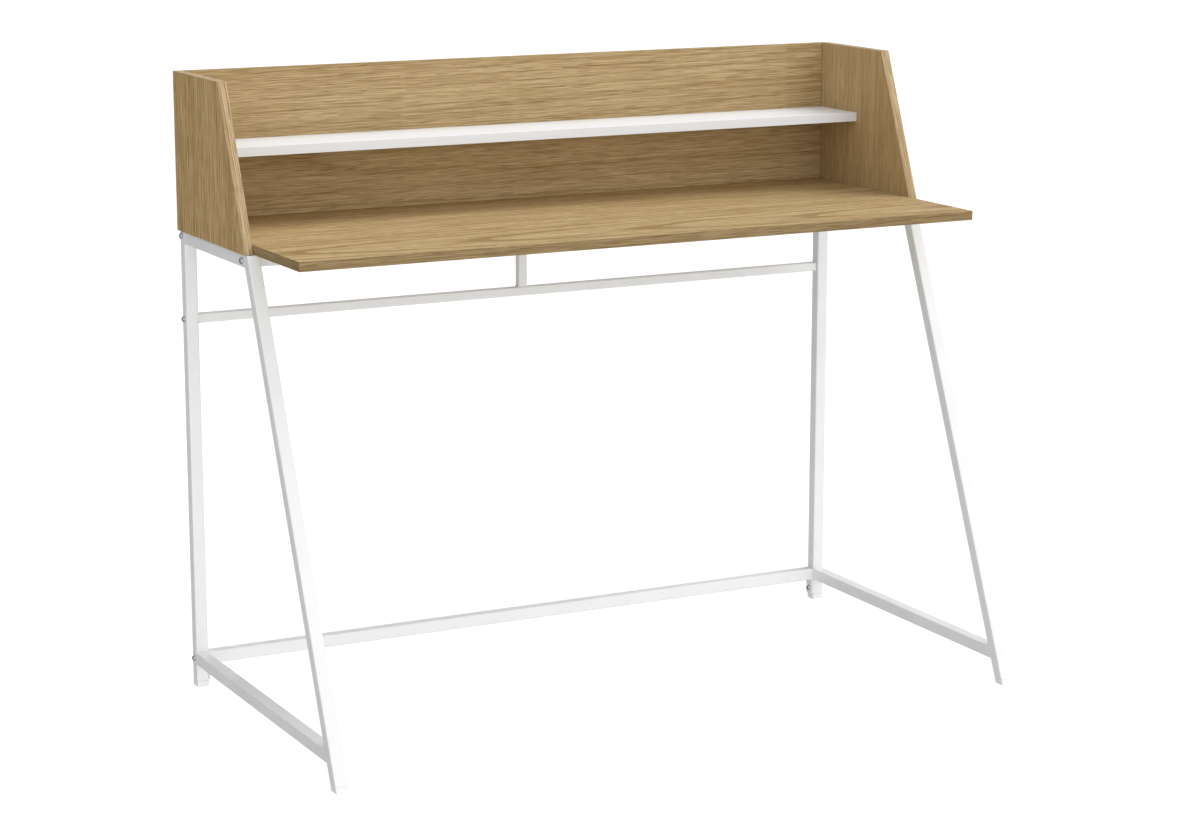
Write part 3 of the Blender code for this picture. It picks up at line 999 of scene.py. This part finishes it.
@dataclass
class SocketScrews:
    """Button-head screws of one size, with a hex socket in the crown."""

    zinc: Finish
    nodes: tuple[tuple[str, Vector], ...]  # solids, and the way their heads look
    radius: float = 0.003
    length: float = 0.0291
    head_radius: float = 0.00525
    head_height: float = 0.0033
    flats: float = 0.004
    socket_depth: float = 0.002
    rim: float = 0.0007
    chamfer: float = 0.0006
    dome_steps: int = 7
    sides: int = 48

    def build(self) -> None:
        """Models one screw and sets a copy in place of each solid."""
        screw = self.model()
        for node, outward in self.nodes:
            low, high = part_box(node)
            middle = (low + high) / 2
            ahead = (high - low).dot(Vector(map(abs, outward))) / 2
            seat = middle + outward * (ahead - self.head_height)
            item = copy_to(screw, f"{node}_turned", seat, outward)
            hand_over(item, self.zinc, node)
        bpy.data.meshes.remove(screw.data)

    def model(self) -> Object:
        """Models the screw with its head's seat at the origin and its head along +Z.

        Returns:
            The screw.
        """
        socket = self.flats / math.sqrt(3)
        crown = socket + self.chamfer
        item = rod("socket_screw", self.head_radius, 0, self.rim, self.sides)
        side = math.cos(math.pi / self.sides)
        last, top = math.acos(crown / self.head_radius), self.head_height - self.rim
        radius, height = self.head_radius, 0.0
        with shaping(item):
            pick(item, Pick.FACE, lambda p, n: n.z > FACING)
            for step in range(1, self.dome_steps + 1):
                turn = last * step / self.dome_steps
                ring = self.head_radius * math.cos(turn)
                level = top * math.sin(turn) / math.sin(last)
                bpy.ops.mesh.inset(thickness=(radius - ring) * side, depth=level - height)
                radius, height = ring, level
            pick(item, Pick.FACE, lambda p, n: n.z < -FACING)
            bpy.ops.mesh.inset(thickness=(self.head_radius - self.radius) * side)
            down = {"value": (0, 0, self.chamfer - self.length)}
            bpy.ops.mesh.extrude_region_move(TRANSFORM_OT_translate=down)
            bpy.ops.mesh.inset(thickness=self.chamfer, depth=self.chamfer)
        floor = self.head_height - self.socket_depth
        cut(item, rod("hex", socket, floor, self.head_height + OVERCUT, 6))
        polish(item, Turning.SMOOTH)
        Turning.map_rings(item)
        return item


@dataclass
class Cams:
    """Cam discs with a cross slot, and the bolts and dowels that stay hidden in the boards."""

    zinc: Finish
    plain_zinc: Finish
    beech: Finish
    radius: float = 0.006
    slot: tuple[float, float, float] = (0.008, 0.0012, 0.0024)
    edge: float = 0.0004
    edge_steps: int = 2
    dish: float = 0.0003
    sides: int = 48

    def build(self) -> None:
        """Models a disc for each depth, sets copies in place, and dresses the hidden pins."""
        for words, outward in (("back", BACK), ("desktop", -UP)):
            nodes = named(f"{words}_cam")
            low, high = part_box(nodes[0])
            depth = (high - low).dot(Vector(map(abs, outward)))
            disc = self.model(depth)
            for node in nodes:
                low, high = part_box(node)
                face = (low + high) / 2 + outward * depth / 2
                item = copy_to(disc, f"{node}_disc", face, outward)
                hand_over(item, self.zinc, node)
            bpy.data.meshes.remove(disc.data)
        for node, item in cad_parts.items():
            finish = self.beech if node.endswith("dowel") else self.plain_zinc
            if node.endswith(("dowel", "cam_bolt")):
                item.data.materials.clear()
                item.data.materials.append(finish.material())
                log.info("%s: %s, kept as packed", node, finish.name)

    def model(self, depth: float) -> Object:
        """Models a disc whose face lies on the origin and looks along +Z.

        Args:
            depth: The disc's thickness.

        Returns:
            The disc.
        """
        item = rod("cam_disc", self.radius, -depth, 0, self.sides)
        with shaping(item):
            soften(item, lambda p, line: p.z > -TINY, self.edge, self.edge_steps)
        with shaping(item):
            pick(item, Pick.FACE, lambda p, n: n.z > FACING)
            bpy.ops.mesh.inset(thickness=self.edge)
            bpy.ops.mesh.inset(thickness=self.edge, depth=-self.dish)
        half = Vector(self.slot) / 2
        for size in (half, half.yxz):
            cut(item, block("slot", -size, size))
        polish(item, Turning.SMOOTH)
        Turning.map_rings(item)
        return item


# Studio


@dataclass(frozen=True)
class Lamp:
    """Broad lamp, far away."""

    name: str
    strength: float
    place: tuple[float, float, float]  # the direction it shines from
    spread: float  # degrees across

    def build(self) -> None:
        """Adds the lamp."""
        light = bpy.data.lights.new(self.name, "SUN")
        light.energy = self.strength
        light.angle = math.radians(self.spread)
        item = bpy.data.objects.new(self.name, light)
        item.rotation_mode = "QUATERNION"
        item.rotation_quaternion = UP.rotation_difference(Vector(self.place))
        bpy.context.scene.collection.objects.link(item)


@dataclass
class Studio:
    """Glowing white floor, a sky that is brighter in front, soft suns, and the camera."""

    floor_size: float = 120.0
    floor_drop: float = 0.0003  # keeps the floor clear of the soles
    floor_colour: str = "#7C7C7C"
    floor_roughness: float = 0.9
    floor_sheen: float = 0.2
    floor_glow: float = 0.88
    sky: float = 0.61  # mean strength
    slope: tuple[float, float, float] = (0.09, -0.39, 0.13)  # change of strength along X, Y and Z
    lamps: tuple[Lamp, ...] = (
        Lamp("upper_right", 1.42, (0.54, 0.02, 0.82), 44.0),
        Lamp("front", 0.50, (0.22, -1.00, 0.00), 60.0),
        Lamp("left", 0.43, (-1.00, -0.30, -0.10), 50.0),
        Lamp("rear", 0.90, (0.10, 1.00, 0.10), 20.0),
    )
    eye: Vector = field(default_factory=lambda: Vector((-2.1273, -4.1188, 1.4275)))
    heading: float = 27.26  # degrees to the right of straight ahead
    dip: float = 12.0  # degrees below level
    lens: float = 88.42
    sensor: float = 36.0
    sight: float = 200.0

    def build(self) -> None:
        """Adds the floor, the lights and the camera."""
        self.floor()
        self.light()
        self.camera()

    def floor(self) -> None:
        """Adds a plain glowing floor that only the camera sees, and that runs past the picture."""
        deselect()
        bpy.ops.mesh.primitive_plane_add(size=self.floor_size, location=(0, 0, -self.floor_drop))
        item = added("studio_floor")
        paint = bpy.data.materials.new("studio_floor_paint")
        paint.use_nodes = True
        shader = paint.node_tree.nodes["Principled BSDF"]
        shader.inputs["Base Color"].default_value = to_linear(self.floor_colour)
        shader.inputs["Roughness"].default_value = self.floor_roughness
        shader.inputs["Specular IOR Level"].default_value = self.floor_sheen
        shader.inputs["Emission Color"].default_value = to_linear("#FFFFFF")
        shader.inputs["Emission Strength"].default_value = self.floor_glow
        item.data.materials.append(paint)
        for ray in ("diffuse", "glossy", "shadow"):
            setattr(item, f"visible_{ray}", False)  # the sky below it lights the desk instead

    def light(self) -> None:
        """Adds the sky's soft light and the lamps."""
        world = bpy.data.worlds.new("studio")
        bpy.context.scene.world = world
        world.use_nodes = True
        tree = world.node_tree
        sky = tree.nodes["Background"]
        sky.inputs["Color"].default_value = to_linear("#FFFFFF")
        way = add_node(tree, "TexCoord").outputs["Object"]
        rise = add_node(tree, "VectorMath", {"operation": "DOT_PRODUCT", 1: self.slope}, {0: way})
        level = {"operation": "ADD", "use_clamp": True, 1: self.sky}
        share = add_node(tree, "Math", level, {0: rise.outputs["Value"]})
        tree.links.new(share.outputs["Value"], sky.inputs["Strength"])
        for lamp in self.lamps:
            lamp.build()

    def camera(self) -> None:
        """Adds the camera."""
        data = bpy.data.cameras.new("camera")
        data.lens = self.lens
        data.sensor_width = self.sensor
        data.clip_end = self.sight
        item = bpy.data.objects.new("camera", data)
        item.location = self.eye
        item.rotation_euler = (math.radians(90 - self.dip), 0, math.radians(-self.heading))
        bpy.context.scene.collection.objects.link(item)
        bpy.context.scene.camera = item
        bpy.context.scene.view_settings.view_transform = "Standard"


# Desk


def cam_mouths(ending: str, axis: str, face: float, inward: Vector) -> Pockets:
    """Finds where a board's cam pockets open.

    Args:
        ending: How the cams' names end.
        axis: The axis that the pockets lie along.
        face: Where their mouths are on it.
        inward: The way in.

    Returns:
        Middle of each mouth, and the way in.
    """
    mouths = []
    for cam in named(ending):
        low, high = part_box(cam)
        middle = (low + high) / 2
        setattr(middle, axis, face)
        mouths.append((middle, inward))
    return tuple(mouths)


def build_boards() -> None:
    """Builds the desktop and the hutch."""
    x, y, z = RIGHT, BACK, UP
    chips = PressedChips("raw_chipboard", Slot.OAK)
    # Painted shade, in part: a darker edge band, deepened further to the shaded look of the desktop's
    # edges.
    dark_band_and_painted_shade = {"light": "#A6906C", "middle": "#967F5A", "dark": "#7D6541", "pore": "#665130"}
    # Painted light, in part: a paler edge band, lifted further to the lit look of the side panels'
    # slanted and top edges.
    pale_band_and_painted_light = {"light": "#CEB896", "middle": "#BBA27E", "dark": "#9C825E", "pore": "#816946"}
    # Painted light: the left panel's tones are warmer and of more contrast than the print, set to its
    # dim light and to cancel the grey sheen it reflects.
    left_panel_painted_light = {"light": "#DCBF8E", "middle": "#BFA16F", "dark": "#937645", "pore": "#6F562A"}
    # Painted light: the right panel's tones are lifted, and of less contrast than the print, set
    # against the shade inside the hutch.
    right_panel_painted_light = {"light": "#C5AC82", "middle": "#B89E74", "dark": "#A48A60", "pore": "#927950"}
    # Painted light: the desktop's tones are lighter than the print, set to its brightly lit top.
    desktop_painted_light = {"light": "#D4BB90", "middle": "#C0A579", "dark": "#A08558", "pore": "#826940"}
    arches = {
        "ring": 0.012,
        "line": 0.30,
        "tilt": (2.4, 0.8),
        "streak": (0.40, 0.005),
        "wander": (0.34, 0.060),
        "wander_detail": 3.0,
    }

    def oak(part: str, grain: Grain, heart: tuple[float, float, float], **look: Any) -> Finish:
        """One oak print, cut from its own stretch of trunk."""
        return OakLaminate(f"oak_print_laminate_{part}", Slot.OAK, grain=grain, heart=heart, **look)

    # The desktop's top and underside take tones that hold painted light.
    top = oak("desktop", Grain.ACROSS, (0.3, 0.10, -0.645), **arches, **desktop_painted_light)
    # The desktop's edges take these darker tones, which hold painted shade.
    top_long = oak("desktop_band", Grain.ACROSS, (2.1, 0.2, -0.60), **dark_band_and_painted_shade)
    top_short = oak("desktop_end", Grain.DEEP, (3.7, 0.4, -0.64), **dark_band_and_painted_shade)
    faces = ((z, top), (-z, top), (y, top_long), (-y, top_long), (x, top_short), (-x, top_short))
    pockets = cam_mouths("desktop_cam", "z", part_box("desktop")[0].z, z)
    Board("desktop", faces, pockets=pockets, core=chips).build()

    back = oak("back_panel", Grain.ACROSS, (5.2, -0.50, -0.86))
    back_end = oak("back_panel_end", Grain.UPRIGHT, (6.4, 0.3, 0.2))
    faces = ((y, back), (-y, back), (z, back), (-z, back), (x, back_end), (-x, back_end))
    pockets = cam_mouths("back_cam", "y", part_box("back_panel")[1].y, -y)
    Board("back_panel", faces, pockets=pockets, pocket_depth=0.0103, core=chips).build()

    front = Vector((0, -0.928, 0.372))  # the way a side panel's slanted edge looks
    # Each side panel's faces take tones that hold painted light.
    for side, tones in ((Side.LEFT, left_panel_painted_light), (Side.RIGHT, right_panel_painted_light)):
        word = side.word
        heart = (8.0 + side.value, -0.45, 0.4 * side.value)
        face = oak(f"{word}_panel", Grain.UPRIGHT, heart, **tones)
        # The slanted and top edges take the paler tones, which hold painted light.
        slant = oak(f"{word}_panel_front", Grain.SLANTED, (11.0 + side.value, 0.5, 0.3), **pale_band_and_painted_light)
        upright = oak(f"{word}_panel_rear", Grain.UPRIGHT, (14.0 + side.value, 0.5, 0.3))
        deep = oak(f"{word}_panel_top", Grain.DEEP, (17.0 + side.value, 0.7, -0.7), **pale_band_and_painted_light)
        faces = ((x, face), (-x, face), (front, slant), (y, upright), (z, deep), (-z, deep))
        SidePanel(f"{word}_side_panel", faces).build()

    # The shelf's top and bottom take the cool whites, tinted against the oak's warm bounce.
    white = WhiteLaminate("white_laminate_shelf", Slot.WHITE_BOARD)
    # Painted shade, in part: the shelf's edge band is a darker grey, set to the shade on its front.
    edge = WhiteLaminate("white_edge_band_shelf", Slot.WHITE_BOARD, bright="#E5E8EC", shade="#E1E4E8")
    Board("shelf", ((z, white), (-z, white), (y, edge), (-y, edge), (x, edge), (-x, edge))).build()


def build_frame() -> None:
    """Builds the side frames, the cross members and the feet."""
    coat = SprayedCoat("powder_coated_steel", Slot.COAT)
    plastic = SprayedCoat(
        "moulded_polypropylene",
        Slot.PLASTIC,
        bright="#F0F0EF",
        shade="#E9E9E8",
        lump=0.0009,
        roughness=(0.45, 0.55),
    )
    bead = WeldBead().build()
    for side in Side:
        SideFrame(coat, bead, side=side).build()
    CrossMembers(coat, bead).build()
    bpy.data.meshes.remove(bead.data)
    Feet(plastic).build()


def build_fittings() -> None:
    """Builds the bolts, screws and cams."""
    zinc = ZincPlate("zinc_plated_turned_steel", Slot.ZINC)
    plain = ZincPlate("zinc_plated_steel_pins", Slot.ZINC, turned=False)
    beech = PressedChips(
        "turned_beech",
        Slot.BEECH,
        chip=(0.010, 0.0010),
        stops=((0.3, "#C39E6C"), (0.5, "#D6B588"), (0.7, "#E2C79F")),
        roughness=0.6,
    )
    bolts, ears = [], []
    for side in Side:
        out = Vector((side.value, 0, 0))
        for name in ("rear_top_bolt", "rear_mid_bolt", "stretcher_bolt", "crossbar_bolt"):
            bolts.append((f"{side.word}_{name}", out))
        ears.append((f"{side.word}_ear_screw", -out))
    SocketScrews(zinc, tuple(bolts)).build()
    SocketScrews(zinc, tuple(ears), length=0.0123).build()
    small = {"radius": 0.002, "head_radius": 0.004, "head_height": 0.0024, "flats": 0.0025}
    for row, length in (("front", 0.0306), ("rear", 0.0256)):
        nodes = tuple((f"{row}_desktop_screw_{number}", -UP) for number in range(1, 5))
        SocketScrews(zinc, nodes, length=length, socket_depth=0.0015, **small).build()
    Cams(zinc, plain, beech).build()


def main() -> None:
    """Builds the desk and its studio."""
    logging.basicConfig(level=logging.INFO, format="%(message)s")
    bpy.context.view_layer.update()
    build_boards()
    build_frame()
    build_fittings()
    Studio().build()


if __name__ == "__main__":
    main()
